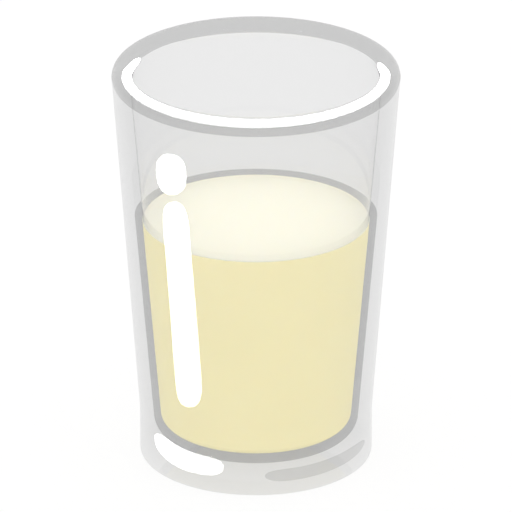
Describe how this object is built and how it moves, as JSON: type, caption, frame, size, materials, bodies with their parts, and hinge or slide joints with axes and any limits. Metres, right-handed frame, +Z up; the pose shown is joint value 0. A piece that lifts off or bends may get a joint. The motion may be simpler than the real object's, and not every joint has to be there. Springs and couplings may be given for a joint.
{
  "type": "glass of milk",
  "caption": "Clear tapered drinking glass with a heavy upright foot and a rolled rim, part filled with pale creamy milk.",
  "frame": {"origin": "centre of the ring that the foot rests on, at the lowest point of the glass", "axes": "+Z up, along the axis of the glass towards its rim; the shape is the same all round, so +X and +Y are free"},
  "size_m": [0.08, 0.08, 0.116],
  "materials": {
    "glass": "clear, polished",
    "milk": "smooth liquid, creamy"
  },
  "bodies": {
    "root": {"glass_tumbler": "glass", "milk": "milk"}
  },
  "joints": []
}
